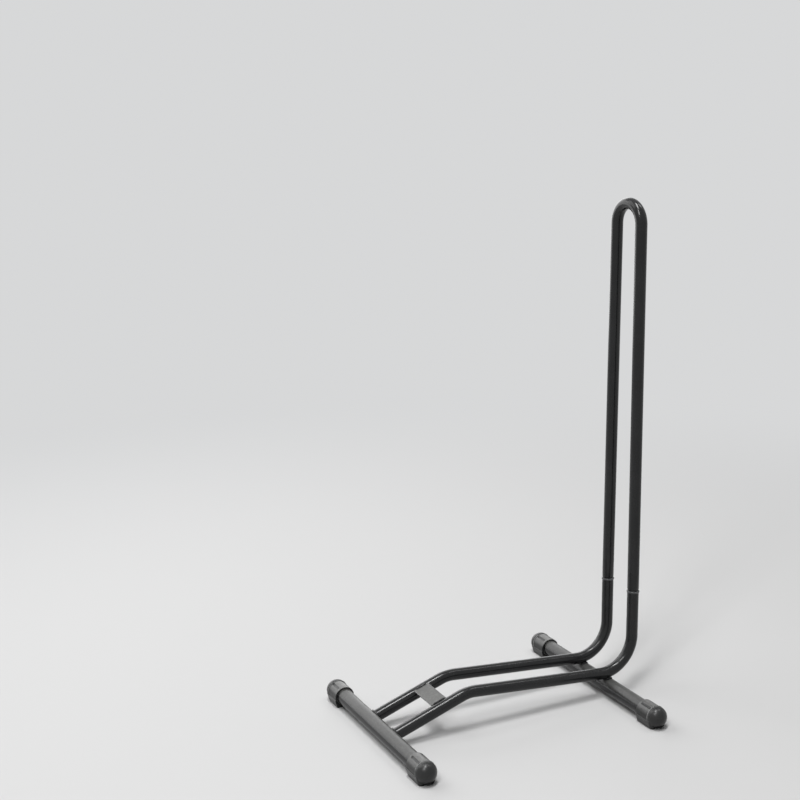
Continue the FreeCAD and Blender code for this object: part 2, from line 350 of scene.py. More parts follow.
def coatMaterial(name, look):
    material, tree, shader = newMaterial(name)
    place = coords(tree, "Object")
    patches = addRamp(tree, addNoise(tree, place, look["patchScale"], 4.0, 0.6, 0.6), 0.35, 0.7)
    colour = addMix(tree, patches, look["colour"], look["paler"])
    # lighter on top: dust, which on the cross tubes and plate is laid on thick as a painted sheen for the
    # reflection along their tops
    dustAndSheenOnTop = addRamp(tree, topness(tree), 0.25, 0.95)
    specks = addRamp(tree, addNoise(tree, place, look["speckScale"], 5.0, 0.7), 0.42, 0.72, look["film"], 1.0)
    dustAndSheen = addMath(tree, "MULTIPLY", addMath(tree, "MULTIPLY", dustAndSheenOnTop, specks), look["dustAndSheenAmount"])
    colour = addMix(tree, dustAndSheen, colour, look["dustAndSheen"])
    lengthways = addStretch(tree, coords(tree, "UV"), look["rubLines"])
    lines = addRamp(tree, addNoise(tree, lengthways, 1.0, 3.0, 0.6), 0.62, 0.74)
    where = addRamp(tree, addNoise(tree, place, look["rubScale"], 3.0, 0.5), 0.5, 0.68)
    rubbed = addMath(tree, "MULTIPLY", addMath(tree, "MULTIPLY", lines, where), look["rubAmount"])
    colour = addMix(tree, rubbed, colour, look["rub"])
    if "wornHighlitEdge" in look:      # bare steel and a painted highlight along the long edges, in broken stretches
        across = tree.nodes.new("ShaderNodeSeparateXYZ")
        join(tree, coords(tree, "UV"), across.inputs[0])
        beside = addMath(tree, "ABSOLUTE", across.outputs["X"], 0.0)
        broken = addRamp(tree, addNoise(tree, place, look["edgeScale"], 4.0, 0.65), 0.3, 0.52)
        wornAndHighlit = addRamp(tree, beside, look["wornHighlitEdge"] - look["wornHighlitWidth"], look["wornHighlitEdge"] - 0.2 * mm)
        wornAndHighlit = addMath(tree, "MULTIPLY", wornAndHighlit, broken)
        colour = addMix(tree, wornAndHighlit, colour, look["bareAndHighlit"])
    join(tree, colour, shader.inputs["Base Color"])
    haze = addRamp(tree, addNoise(tree, place, look["hazeScale"], 5.0, 0.6, 0.4), 0.3, 0.75, *look["gloss"])
    rough = addMath(tree, "ADD", haze, addMath(tree, "MULTIPLY", dustAndSheen, look["dustRoughness"]))
    rough = addMath(tree, "ADD", rough, addMath(tree, "MULTIPLY", rubbed, look["rubRoughness"]))
    join(tree, rough, shader.inputs["Roughness"])
    peel = addBump(tree, addNoise(tree, place, look["peel"], 2.0, 0.45), look["peelDepth"], 0.6)
    grain = addBump(tree, addNoise(tree, place, look["grain"], 2.0, 0.5), look["grainDepth"], 0.5, peel)
    scratch = addBump(tree, addMath(tree, "MULTIPLY", rubbed, -1.0), look["scratchDepth"], 0.5, grain)
    join(tree, scratch, shader.inputs["Normal"])
    shader.inputs["Specular IOR Level"].default_value = look["shine"]
    return material


mouldedPlastic = {
    "colour": (0.009, 0.0094, 0.0094),
    "paler": (0.018, 0.018, 0.0176),
    "dustAndSheen": (0.2, 0.2, 0.195),
    "gloss": (0.29, 0.41),
    "shine": 0.45,
    "dustAndSheenAmount": 0.0,
    "patchScale": 60.0,
    "hazeScale": 120.0,
    "fluffScale": 420.0,         # lint caught on the plastic
    "fluffAmount": 0.3,
    "filmScale": 200.0,
    "spark": 2600.0,             # the mould's eroded finish
    "sparkDepth": 0.00003,
    "swirl": 240.0,
    "swirlDepth": 0.00006,
}


def plasticMaterial(name, look):
    material, tree, shader = newMaterial(name)
    place = coords(tree, "Object")
    patches = addRamp(tree, addNoise(tree, place, look["patchScale"], 4.0, 0.6, 0.5), 0.35, 0.7)
    colour = addMix(tree, patches, look["colour"], look["paler"])
    fluff = addNoise(tree, place, look["fluffScale"], 4.0, 0.7)
    fluff = addRamp(tree, fluff, 0.6, 0.76, 0.0, look["fluffAmount"])
    colour = addMix(tree, fluff, colour, look["dustAndSheen"])
    if look["dustAndSheenAmount"]:
        # lighter on top: dust, and on the cap sleeve a painted sheen
        film = addRamp(tree, addNoise(tree, place, look["filmScale"], 4.0, 0.6), 0.3, 0.7, 0.65, 1.0)
        dustAndSheenOnTop = addMath(tree, "MULTIPLY", addRamp(tree, topness(tree), 0.1, 0.9), film)
        colour = addMix(tree, addMath(tree, "MULTIPLY", dustAndSheenOnTop, look["dustAndSheenAmount"]), colour, look["dustAndSheen"])
    join(tree, colour, shader.inputs["Base Color"])
    haze = addRamp(tree, addNoise(tree, place, look["hazeScale"], 4.0, 0.6), 0.3, 0.75, *look["gloss"])
    join(tree, haze, shader.inputs["Roughness"])
    spark = addBump(tree, addNoise(tree, place, look["spark"], 3.0, 0.6), look["sparkDepth"], 0.7)
    swirl = addBump(tree, addNoise(tree, place, look["swirl"], 2.0, 0.5), look["swirlDepth"], 0.4, spark)
    join(tree, swirl, shader.inputs["Normal"])
    shader.inputs["Specular IOR Level"].default_value = look["shine"]
    return material


bareTube = {
    "dull": (0.3, 0.3, 0.31),
    "bright": (0.5, 0.5, 0.5),
    "coatLeft": (0.02, 0.02, 0.021),
    "leftScale": 320.0,
    "drawnLines": (3000.0, 40.0, 1.0),
    "lineDepth": 0.00002,
    "gloss": (0.3, 0.5),
}


def steelMaterial(name, look):
    # bare tube ends, drawn through the sockets many times
    material, tree, shader = newMaterial(name)
    lines = addNoise(tree, addStretch(tree, coords(tree, "UV"), look["drawnLines"]), 1.0, 4.0, 0.6)
    left = addNoise(tree, coords(tree, "Object"), look["leftScale"], 5.0, 0.6)
    left = addRamp(tree, left, 0.56, 0.72)
    steel = addMix(tree, addRamp(tree, lines, 0.35, 0.65), look["dull"], look["bright"])
    join(tree, addMix(tree, left, steel, look["coatLeft"]), shader.inputs["Base Color"])
    join(tree, addMath(tree, "SUBTRACT", 0.9, left), shader.inputs["Metallic"])
    join(tree, addRamp(tree, lines, 0.3, 0.7, *look["gloss"]), shader.inputs["Roughness"])
    join(tree, addBump(tree, lines, look["lineDepth"], 0.5), shader.inputs["Normal"])
    return material


coat = coatMaterial("blackCoat", blackCoat)
# the cross tubes' tops are painted lighter, a painted sheen for the reflection along their tops, with some
# dust
crossCoat = coatMaterial("dustAndSheenCoat", {**blackCoat, "dustAndSheenAmount": 0.55, "film": 0.65, "peelDepth": 0.000008})
# the plate's top is painted lighter, a painted sheen with some dust, and its long edges paler by wear and a
# painted highlight
plateCoat = coatMaterial("plateWearAndSheen", {**blackCoat, "dustAndSheenAmount": 0.9, "film": 0.6, "wornHighlitEdge": 12.5 * mm,
                                      "wornHighlitWidth": 0.9 * mm, "bareAndHighlit": (0.34, 0.34, 0.345)})
weldCoat = coatMaterial("weldCoat", {**blackCoat, "rubAmount": 0.2, "gloss": (0.2, 0.34)})
# the rolled lip is painted paler all round: wear, and a painted highlight on its bead
lipCoat = coatMaterial("lipWearAndHighlight", {**blackCoat, "colour": (0.05, 0.051, 0.053),
                                    "paler": (0.11, 0.112, 0.115), "rub": (0.3, 0.3, 0.3),
                                    "rubAmount": 0.8, "shine": 0.5})
capPlastic = plasticMaterial("mouldedCap", mouldedPlastic)
bareSteel = steelMaterial("bareTubeEnd", bareTube)
# the cap's mouth edge and the upper side of its proud ring are paler: wear, and a painted highlight
wornAndHighlitPlastic = plasticMaterial("rimWearAndHighlight", {**mouldedPlastic, "colour": (0.1, 0.101, 0.101),
                                              "paler": (0.24, 0.24, 0.24)})
# the sleeve's upper side is paler: dust and a painted sheen
sleeveDustAndSheen = plasticMaterial("sleeveDustAndSheen", {**mouldedPlastic, "dustAndSheenAmount": 0.6})
print("materials made")

loopSizes = {
    "wall": 1.2 * mm,
    "topSpacing": 60.0 * mm,       # between the legs where they run into the bend
    "neckHeight": 3.0 * mm,
    "shoulderDrop": 0.5 * mm,      # the leg's lower edge below the top of the neck
    "shoulderRound": 0.4 * mm,
    "neckTop": 8.65 * mm,
    "spigotRadius": 7.7 * mm,
    "spigotLength": 38.0 * mm,
    "tipRound": 1.2 * mm,
    "neckBlend": 0.15 * mm,
    "flatten": 0.025,
    "segments": 56,
    "steps": (2.4 * mm, 30.0 * mm),         # between rings in a bend and on a straight, outside
    "boreSteps": (6.0 * mm, 60.0 * mm),     # and inside
    "bareAbove": 0.5 * mm,                  # bare steel shows this far above the socket
}


def loopRuns(s):
    # from the near spigot's tip, up the leg, round the bend and down to the far tip
    radius = s["topSpacing"] / 2
    crown = loopHigh.z - tubeRadius - radius
    foot = jointHeight + s["neckHeight"] - s["shoulderDrop"]
    rise = crown - foot
    lean = math.atan2(railY, rise) - math.asin(radius / math.hypot(railY, rise))
    touch = Vector((uprightX, -radius * math.cos(lean), crown + radius * math.sin(lean)))
    start = Vector((uprightX, -railY, foot))
    return [
        {"kind": "line", "start": start, "end": touch},
        {"kind": "arc", "start": touch, "centre": Vector((uprightX, 0, crown)),
         "axis": Vector((-1, 0, 0)), "turn": math.pi + 2 * lean},
        {"kind": "line", "start": Vector((uprightX, -touch.y, touch.z)),
         "end": Vector((uprightX, railY, foot))},
    ]


def loopProfile(runs, s):
    # (distance, radius) round the whole wall: outside from tip to tip, then back along the bore
    total = pathLength(runs)
    tip = -(s["spigotLength"] + s["neckHeight"] - s["shoulderDrop"])
    neckFoot = -(s["neckHeight"] - s["shoulderDrop"])
    end = [
        (tip, s["spigotRadius"] - s["tipRound"] / 2),
        (tip + s["tipRound"] * 0.3, s["spigotRadius"] - s["tipRound"] * 0.2),
        (tip + s["tipRound"], s["spigotRadius"]),
        (neckFoot - 4 * mm, s["spigotRadius"]),
        (neckFoot, s["spigotRadius"]),
        (-2 * sliver, s["neckTop"] - s["neckBlend"]),
        (0.0, s["neckTop"]),
        (0.0, tubeRadius - s["shoulderRound"]),
        (s["shoulderRound"] * 0.3, tubeRadius - s["shoulderRound"] * 0.3),
        (s["shoulderRound"], tubeRadius),
    ]
    outside = [(d, tubeRadius) for d in ringStops(runs, *s["steps"])[1:-1]]
    mirrored = [(total - d, r) for d, r in reversed(end)]
    bore = tubeRadius - s["wall"]
    narrow = s["spigotRadius"] - s["wall"]
    inside = [(total - tip, narrow), (total, narrow), (total, bore)]
    inside += [(d, bore) for d in reversed(ringStops(runs, *s["boreSteps"])[1:-1])]
    inside += [(0.0, bore), (0.0, narrow), (tip, narrow)]
    return end + outside + mirrored + inside


def makeLoop(s):
    runs = loopRuns(s)
    bm = sweepTube(runs, loopProfile(runs, s), Vector((1, 0, 0)), s["segments"], s["flatten"])
    addUv(bm, 2 * math.pi * tubeRadius)
    top = jointHeight + s["bareAbove"]
    for face in bm.faces:
        if face.calc_center_median().z < top:
            face.material_index = 1
    addPiece("uprightLoop", bm, "loop", "upright_loop", [coat, bareSteel])


makeLoop(loopSizes)
print("loop made")

railSizes = {
    "wall": 1.2 * mm,
    "rearBend": 54.0 * mm,           # radii of the centreline
    "frontBend": 60.0 * mm,
    "slopeRun": 131.0 * mm,          # front cross tube's axis back to the front bend's corner
    "frontBendHeight": 58.5 * mm,
    "frontMeetRise": 2.0 * mm,       # front ends meet the cross tube this far above its axis
    "lipRadius": 1.6 * mm,
    "lipProud": 0.95 * mm,           # how far the rolled lip stands out
    "lipSteps": 10,
    "mouthRound": 0.25 * mm,
    "saddleGap": 0.05 * mm,
    "flatten": 0.03,
    "segments": 56,
    "steps": (2.6 * mm, 24.0 * mm),
}


def railPoints(s):
    # corners of a rail's centreline from the socket to the front: it rests on the rear cross tube
    reach = s["rearBend"] + crossRadius + tubeRadius
    ahead = (uprightX - crossX["rear"]) - s["rearBend"]
    centreZ = axisHeight + math.sqrt(reach ** 2 - ahead ** 2)
    cornerReach = uprightX - crossX["front"] - s["slopeRun"]
    dx = s["rearBend"] - cornerReach
    dz = s["frontBendHeight"] - centreZ
    turn = math.atan2(dz, dx) + math.acos(s["rearBend"] / math.hypot(dx, dz))
    touchX = s["rearBend"] * (math.cos(turn) - 1)
    touchZ = centreZ + s["rearBend"] * math.sin(turn)
    fall = (s["frontBendHeight"] - touchZ) / (cornerReach + touchX)
    top = Vector((uprightX, 0, jointHeight))
    rearCorner = Vector((uprightX, 0, touchZ + fall * touchX))
    frontCorner = Vector((uprightX - cornerReach, 0, s["frontBendHeight"]))
    rise = s["frontMeetRise"]
    meet = Vector((crossX["front"] + math.sqrt(crossRadius ** 2 - rise ** 2), 0, axisHeight + rise))
    return top, rearCorner, frontCorner, meet


railCorners = railPoints(railSizes)
slopeAlong = (railCorners[2] - railCorners[3]).normalized()    # up the front slope
slopeNormal = Vector((-slopeAlong.z, 0, slopeAlong.x))


def saddleReach(offset, direction, radius):
    # how far a point beside the rail's axis travels down the slope to touch the front cross tube
    start = railCorners[3] + offset - Vector((crossX["front"], 0, axisHeight))
    flat = Vector((start.x, start.z))
    way = Vector((direction.x, direction.z))
    a = way.length_squared
    b = flat.dot(way)
    c = flat.length_squared - radius ** 2
    return (-b + math.sqrt(max(0.0, b * b - a * c))) / a


def makeRail(side, s):
    place = Vector((0, sides[side] * railY, 0))
    points = [p + place for p in railCorners]
    runs = bentPath(points, [s["rearBend"], s["frontBend"]])
    total = pathLength(runs)
    bore = tubeRadius - s["wall"]
    lip = s["lipRadius"]
    mouth = s["mouthRound"]
    rim = [(0.0, bore + mouth), (0.0, tubeRadius - 0.3 * mm)]
    for i in range(s["lipSteps"] + 1):
        turn = math.pi * (i / s["lipSteps"])
        rim.append((lip * (1 - math.cos(turn)), tubeRadius + s["lipProud"] * math.sin(turn)))
    stops = [d for d in ringStops(runs, *s["steps"])[1:-1] if d > 2 * lip + 1 * mm]
    outside = [(2 * lip + 0.6 * mm, tubeRadius)] + [(d, tubeRadius) for d in stops] + [(total, tubeRadius)]
    inside = [(total, bore)] + [(d, bore) for d in reversed(stops[::3])] + [(mouth, bore)]
    profile = rim + outside + inside
    bm = sweepTube(runs, profile, Vector((0, 1, 0)), s["segments"], s["flatten"])
    alongLayer = bm.verts.layers.float["along"]
    for v in bm.verts:      # the front end is cut to the cross tube's side
        if abs(v[alongLayer] - total) < 1e-7:
            offset = v.co - points[3]
            v.co += slopeAlong * saddleReach(offset, slopeAlong, crossRadius + s["saddleGap"])
    addUv(bm, 2 * math.pi * tubeRadius)
    for face in bm.faces:   # the rolled lip wears first, where the loop goes in and out, and is painted paler as a highlight on its bead
        if all(v[alongLayer] <= 2 * lip + sliver for v in face.verts):
            face.material_index = 1
    addPiece(side + "Rail", bm, "base_frame", side + "_rail", [coat, lipCoat])


for side in sides:
    makeRail(side, railSizes)
print("rails made")

crossSizes = {
    "wall": 1.5 * mm,
    "edge": 0.3 * mm,
    "segments": 64,
    "step": 10.0 * mm,
}


def makeCrossTube(end, s):
    half = crossHalf[end]
    start = Vector((crossX[end], -half, axisHeight))
    runs = [{"kind": "line", "start": start, "end": start + Vector((0, 2 * half, 0))}]
    stops = ringStops(runs, s["step"], s["step"])[1:-1]
    edge = s["edge"]
    bore = crossRadius - s["wall"]
    profile = [(0.0, crossRadius - edge), (edge, crossRadius)]
    profile += [(d, crossRadius) for d in stops]
    profile += [(2 * half - edge, crossRadius), (2 * half, crossRadius - edge)]
    profile += [(2 * half, bore + edge), (2 * half - edge, bore)]
    profile += [(edge, bore), (0.0, bore + edge)]
    bm = sweepTube(runs, profile, Vector((1, 0, 0)), s["segments"])
    addUv(bm, 2 * math.pi * crossRadius)
    addPiece(end + "CrossTube", bm, "base_frame", end + "_cross_tube", [crossCoat])


for end in crossX:
    makeCrossTube(end, crossSizes)
print("cross tubes made")

plateSizes = {
    "width": 25.0 * mm,
    "thickness": 3.0 * mm,
    "upSlope": 67.0 * mm,
    "lift": 5.5 * mm,            # underside above the rails' centrelines
    "round": 1.0 * mm,
    "endRound": 0.5 * mm,
    "gap": 0.05 * mm,
    "cutsAcross": 60,
}


def makePlate(s):
    bm = bmesh.new()
    half = plateHigh.y
    bmesh.ops.create_cube(bm, size=1.0)
    bmesh.ops.scale(bm, vec=(s["width"], 2 * half, s["thickness"]), verts=bm.verts)
    longEdges = [e for e in bm.edges if abs(e.verts[0].co.y - e.verts[1].co.y) > half]
    bmesh.ops.bevel(bm, geom=longEdges, offset=s["round"], affect="EDGES", segments=5, profile=0.5,
                    material=-1)
    endEdges = [e for e in bm.edges if all(abs(abs(v.co.y) - half) < 1e-6 for v in e.verts)]
    bmesh.ops.bevel(bm, geom=endEdges, offset=s["endRound"], affect="EDGES", segments=3, profile=0.5,
                    material=-1)
    for i in range(1, s["cutsAcross"]):
        y = half * (2 * i / s["cutsAcross"] - 1)
        geom = list(bm.verts) + list(bm.edges) + list(bm.faces)
        bmesh.ops.bisect_plane(bm, geom=geom, plane_co=(0, y, 0), plane_no=(0, 1, 0))
    middle = railCorners[3] + slopeAlong * (s["upSlope"] + s["width"] / 2)
    middle += slopeNormal * (s["lift"] + s["thickness"] / 2)
    turn = Matrix((slopeAlong, Vector((0, 1, 0)), slopeNormal)).transposed().to_4x4()
    bmesh.ops.transform(bm, matrix=Matrix.Translation(middle) @ turn, verts=bm.verts)
    clear = tubeRadius + s["gap"]
    for v in bm.verts:       # each end is cut to the shoulder of its rail
        height = (v.co - railCorners[3]).dot(slopeNormal)
        if height < clear:
            limit = railY - math.sqrt(clear ** 2 - height ** 2)
            if abs(v.co.y) > limit:
                v.co.y = math.copysign(limit, v.co.y)
    bmesh.ops.remove_doubles(bm, verts=bm.verts, dist=2 * sliver)
    uvLayer = bm.loops.layers.uv.new("alongTube")
    for face in bm.faces:
        for loop in face.loops:
            offset = loop.vert.co - middle
            loop[uvLayer].uv = (offset.dot(slopeAlong), offset.y)
    addPiece("tyreRestPlate", bm, "base_frame", "tyre_rest_plate", [plateCoat])


makePlate(plateSizes)
print("plate made")

weldSizes = {
    "frontBeadRadius": 1.7 * mm,
    "frontBeadOut": 0.3 * mm,          # bead's core outside the rail's surface
    "frontBeadUp": 0.5 * mm,           # bead's core above the cross tube's surface
    "ripple": 1.5 * mm,
    "rippleDepth": 0.22 * mm,
    "wander": 0.25 * mm,
    "rearBeadRadius": 1.9 * mm,
    "rearBeadLength": 11.0 * mm,
    "rearOffset": 0.62,                # share of the rail's radius beside its lowest line
    "plateBeadRadius": 1.7 * mm,
    "plateBeadLength": 19.0 * mm,
    "sunk": (0.4, 0.2),                # rear bead's core above the tube, plate bead's below it, in radii
    "frontSegments": (14, 160),        # round a bead and along it
    "shortSegments": (18, 56),
    "smoothUpTo": 60,
}


def rippleAt(distance, s, seed):
    # puddle marks left one after another, never quite even
    wobble = noise.noise(Vector((distance * 180, seed, 0.3))) * 1.6
    step = (distance / s["ripple"] + wobble) % 1.0
    return -s["rippleDepth"] * (1 - math.sqrt(max(0.0, 1 - (2 * step - 1) ** 2)))


def makeFrontBead(bm, side, s):
    # a ring of weld spun round the rail, then dropped on to the cross tube's side
    base = railCorners[3] + Vector((0, sides[side] * railY, 0))
    core = tubeRadius + s["frontBeadOut"]
    segments, steps = s["frontSegments"]
    made = bmesh.ops.create_circle(bm, cap_ends=False, radius=s["frontBeadRadius"], segments=segments)
    ring = made["verts"]
    bmesh.ops.rotate(bm, verts=ring, cent=(0, 0, 0), matrix=Matrix.Rotation(math.pi / 2, 3, "X"))
    bmesh.ops.translate(bm, verts=ring, vec=(core, 0, 0))
    edges = [e for e in bm.edges if all(v in set(ring) for v in e.verts)]
    before = set(bm.verts) - set(ring)
    bmesh.ops.spin(bm, geom=ring + edges, cent=(0, 0, 0), axis=(0, 0, 1), angle=2 * math.pi,
                   steps=steps, use_merge=True, use_duplicate=False)
    fresh = [v for v in bm.verts if v not in before]
    turn = Matrix((slopeNormal, Vector((0, 1, 0)), -slopeAlong)).transposed()
    for v in fresh:
        angle = math.atan2(v.co.y, v.co.x)
        spoke = Vector((math.cos(angle), math.sin(angle), 0))
        centre = spoke * core
        out = (v.co - centre).normalized()
        size = s["frontBeadRadius"] + rippleAt(angle * core, s, sides[side])
        size += s["wander"] * noise.noise(Vector((spoke.x * 2, spoke.y * 2, sides[side])))
        local = centre + out * size
        local.z = -local.z
        flat = turn @ Vector((local.x, local.y, 0))
        foot = turn @ Vector((centre.x, centre.y, 0))
        drop = saddleReach(foot, slopeAlong, crossRadius)
        v.co = base + flat + slopeAlong * (drop + s["frontBeadUp"] + local.z)


def makeShortBead(bm, runs, radius, s, seed):
    # a short run of puddles with rounded ends
    length = pathLength(runs)
    segments, steps = s["shortSegments"]
    made = bmesh.ops.create_circle(bm, cap_ends=False, radius=1.0, segments=segments)
    ring = made["verts"]
    side = Vector((0, 1, 0))
    last = Matrix.Identity(4)
    first = ring
    for i in range(steps + 1):
        travel = -math.cos(math.pi * i / steps)
        distance = length / 2 * (travel + 1)
        size = radius * max(0.04, 1 - abs(travel) ** 4) ** 0.5
        size += rippleAt(distance, s, seed) if 0 < i < steps else 0
        size = max(size, radius * 0.1)
        place, heading, _ = pointOn(runs, distance)
        turn = Matrix((side, heading.cross(side), heading)).transposed().to_4x4()
        matrix = Matrix.Translation(place) @ turn @ Matrix.Diagonal((size, size, 1, 1))
        if i:
            ring = pushRing(bm, ring)
        moveRing(bm, ring, matrix, last)
        last = matrix
    closeRing(bm, first)
    closeRing(bm, ring)


def beadUv(bm):
    uvLayer = bm.loops.layers.uv.new("alongTube")
    for face in bm.faces:
        for loop in face.loops:
            loop[uvLayer].uv = (loop.vert.co.x, loop.vert.co.y)


def makeFrontWelds(s):
    bm = bmesh.new()
    for side in sides:
        makeFrontBead(bm, side, s)
    beadUv(bm)
    addPiece("frontRailWelds", bm, "base_frame", "front_rail_welds", [weldCoat], s["smoothUpTo"])


def makeRearWelds(s):
    # four beads that follow the cross tube over its top, in the grooves beside the rails
    bm = bmesh.new()
    reach = crossRadius + s["rearBeadRadius"] * s["sunk"][0]
    half = s["rearBeadLength"] / 2 / reach
    for i, side in enumerate(sides):
        for j, turn in enumerate((-1, 1)):
            y = sides[side] * railY + turn * tubeRadius * s["rearOffset"]
            centre = Vector((crossX["rear"], y, axisHeight))
            start = centre + Vector((-math.sin(half), 0, math.cos(half))) * reach
            runs = [{"kind": "arc", "start": start, "centre": centre, "axis": Vector((0, 1, 0)),
                     "turn": 2 * half}]
            makeShortBead(bm, runs, s["rearBeadRadius"], s, 2 * i + j)
    beadUv(bm)
    addPiece("rearRailWelds", bm, "base_frame", "rear_rail_welds", [weldCoat], s["smoothUpTo"])


def makePlateWelds(s):
    bm = bmesh.new()
    lift = tubeRadius - s["plateBeadRadius"] * s["sunk"][1]
    margin = (plateSizes["width"] - s["plateBeadLength"]) / 2
    for side in sides:
        base = railCorners[3] + slopeNormal * lift + Vector((0, sides[side] * plateHigh.y, 0))
        start = base + slopeAlong * (plateSizes["upSlope"] + margin)
        runs = [{"kind": "line", "start": start, "end": start + slopeAlong * s["plateBeadLength"]}]
        makeShortBead(bm, runs, s["plateBeadRadius"], s, sides[side] + 7)
    beadUv(bm)
    addPiece("plateWelds", bm, "base_frame", "plate_welds", [weldCoat], s["smoothUpTo"])


makeFrontWelds(weldSizes)
makeRearWelds(weldSizes)
makePlateWelds(weldSizes)
print("weld beads made")

capSizes = {
    "gap": 0.1 * mm,
    "wall": 2.9 * mm,
    "grip": 30.0 * mm,
    "endWall": 2.0 * mm,
    "domeDepth": 13.0 * mm,         # past the outside of the end wall
    "rimBack": 4.0 * mm,            # the ring behind the dome stands this far back from there
    "domeShoulder": 9.0 * mm,
    "domeExtra": 0.5 * mm,
    "rimExtra": 0.9 * mm,
    "rimWidth": 1.6 * mm,
    "mouthRound": 0.9 * mm,
    "mouthSteps": 4,
    "footTop": 33.0 * mm,
    "footBottom": 25.0 * mm,
    "ledgeDrop": 3.5 * mm,
    "footReach": 3.0 * mm,
    "footEndRound": 5.0 * mm,
    "channelWidth": 8.0 * mm,
    "channelDepth": 1.2 * mm,
    "archWidth": 13.0 * mm,
    "archHeight": 5.5 * mm,
    "fluteWidth": 5.4 * mm,
    "fluteDepth": 1.0 * mm,
    "fluteMargin": 5.0 * mm,        # from the mouth
    "fluteStop": 1.5 * mm,          # and from the ring
    "fluteAngle": 31.0,
    "fluteShadeDepth": 0.1 * mm,          # deeper than this a flute floor keeps clear of dust and painted sheen, left dark as painted shade
    "blend": 0.35 * mm,             # softness of the moulded corners
    "segments": 240,
    "domeSteps": 24,
    "sleeveSteps": 44,
    "smoothUpTo": 50,
}


def softMax(a, b, k):
    h = max(k - abs(a - b), 0.0) / k
    return max(a, b) + h * h * k / 4


def softMin(a, b, k):
    return -softMax(-a, -b, k)


def domeRadius(t, s):
    # outside radius at t past the ring: a shoulder arc, then a flatter crown arc
    radius = crossRadius + s["gap"] + s["wall"] + s["domeExtra"]
    depth = s["domeDepth"] + s["rimBack"]
    shoulderX = radius - s["domeShoulder"]
    rise = shoulderX ** 2 + depth ** 2 - s["domeShoulder"] ** 2
    crown = rise / (2 * (depth - s["domeShoulder"]))
    crownZ = depth - crown
    lean = math.atan2(-crownZ, shoulderX)
    change = s["domeShoulder"] * math.sin(lean)
    if t <= change:
        return shoulderX + math.sqrt(max(0.0, s["domeShoulder"] ** 2 - t ** 2))
    return math.sqrt(max(0.0, crown ** 2 - (t - crownZ) ** 2))


def raySlab(direction, normal, offset):
    # distance along the ray to the line normal . p = offset, or far away if it never gets there
    facing = direction.dot(normal)
    return offset / facing if facing > 1e-6 else 1.0


def footRadius(direction, t, s):
    # outline of the two-tread foot in a section across the cap, measured from the tube's axis
    wide = s["footTop"] / 2
    narrow = s["footBottom"] / 2
    if t > s["footReach"]:
        return 0.0
    inset = 0.0
    into = t - (s["footReach"] - s["footEndRound"])
    if into > 0:
        inset = s["footEndRound"] - math.sqrt(max(0.0, s["footEndRound"] ** 2 - into ** 2))
    drop = axisHeight - s["ledgeDrop"]
    slant = Vector((drop, -(wide - narrow))).normalized()
    corner = Vector((wide - inset, -s["ledgeDrop"]))
    spot = Vector((abs(direction.x), direction.y))
    if spot.y > -1e-4:
        return 0.0
    slope = raySlab(spot, slant, corner.dot(slant))
    reach = softMin(slope, raySlab(spot, Vector((1, 0)), wide - inset), s["blend"])
    reach = softMin(reach, raySlab(spot, Vector((0, -1)), axisHeight), s["blend"] * 2)
    ledge = spot.y * reach + s["ledgeDrop"]
    fade = min(1.0, max(0.0, 0.5 - ledge / (0.5 * mm)))
    return reach * fade


def hollowLimit(direction, t, s):
    # how far the cap may reach over the channel and the arch between the treads
    if direction.y > -0.2:
        return 1.0
    across = abs(direction.x / direction.y)
    limit = 1.0
    roof = axisHeight - s["channelDepth"]
    edge = s["channelWidth"] / 2
    if across * roof < edge:
        limit = min(limit, raySlab(direction, Vector((0, -1)), roof))
    if t > -s["endWall"] / 2:
        archRadius = (s["archWidth"] ** 2 / 4 + s["archHeight"] ** 2) / (2 * s["archHeight"])
        centreY = -axisHeight + s["archHeight"] - archRadius
        b = direction.y * centreY
        c = centreY ** 2 - archRadius ** 2
        inside = b * b - c
        if inside > 0:
            limit = min(limit, b - math.sqrt(inside))
    return limit


def fluteDip(angle, t, s):
    # depth of the two long flutes on the sleeve's shoulders
    radius = crossRadius + s["gap"] + s["wall"]
    cutter = s["fluteWidth"] / 2
    away = (abs(angle) - math.radians(s["fluteAngle"])) * radius
    low = -s["grip"] - s["endWall"] + s["fluteMargin"]
    high = -s["rimBack"] - s["rimWidth"] - s["fluteStop"]
    beyond = max(low - t, t - high, 0.0)
    spread = cutter ** 2 - away ** 2 - beyond ** 2
    if spread <= 0:
        return 0.0
    return max(0.0, math.sqrt(spread) - (cutter - s["fluteDepth"]))


def capRadius(angle, t, s):
    # outside of the cap in the direction of angle from the top, t past its closed end
    sleeve = crossRadius + s["gap"] + s["wall"]
    direction = Vector((math.sin(angle), math.cos(angle)))
    past = t + s["rimBack"]
    if past > 0:
        body = domeRadius(past, s)
    else:
        rim = max(0.0, 1 - ((past + s["rimWidth"] / 2) / (s["rimWidth"] / 2)) ** 2)
        body = sleeve + s["rimExtra"] * math.sqrt(rim)
        body -= fluteDip(math.atan2(direction.x, direction.y), t, s)
    foot = footRadius(direction, t, s)
    reach = softMax(body, foot, s["blend"]) if foot > 0 else body
    return softMin(reach, hollowLimit(direction, t, s), s["blend"])


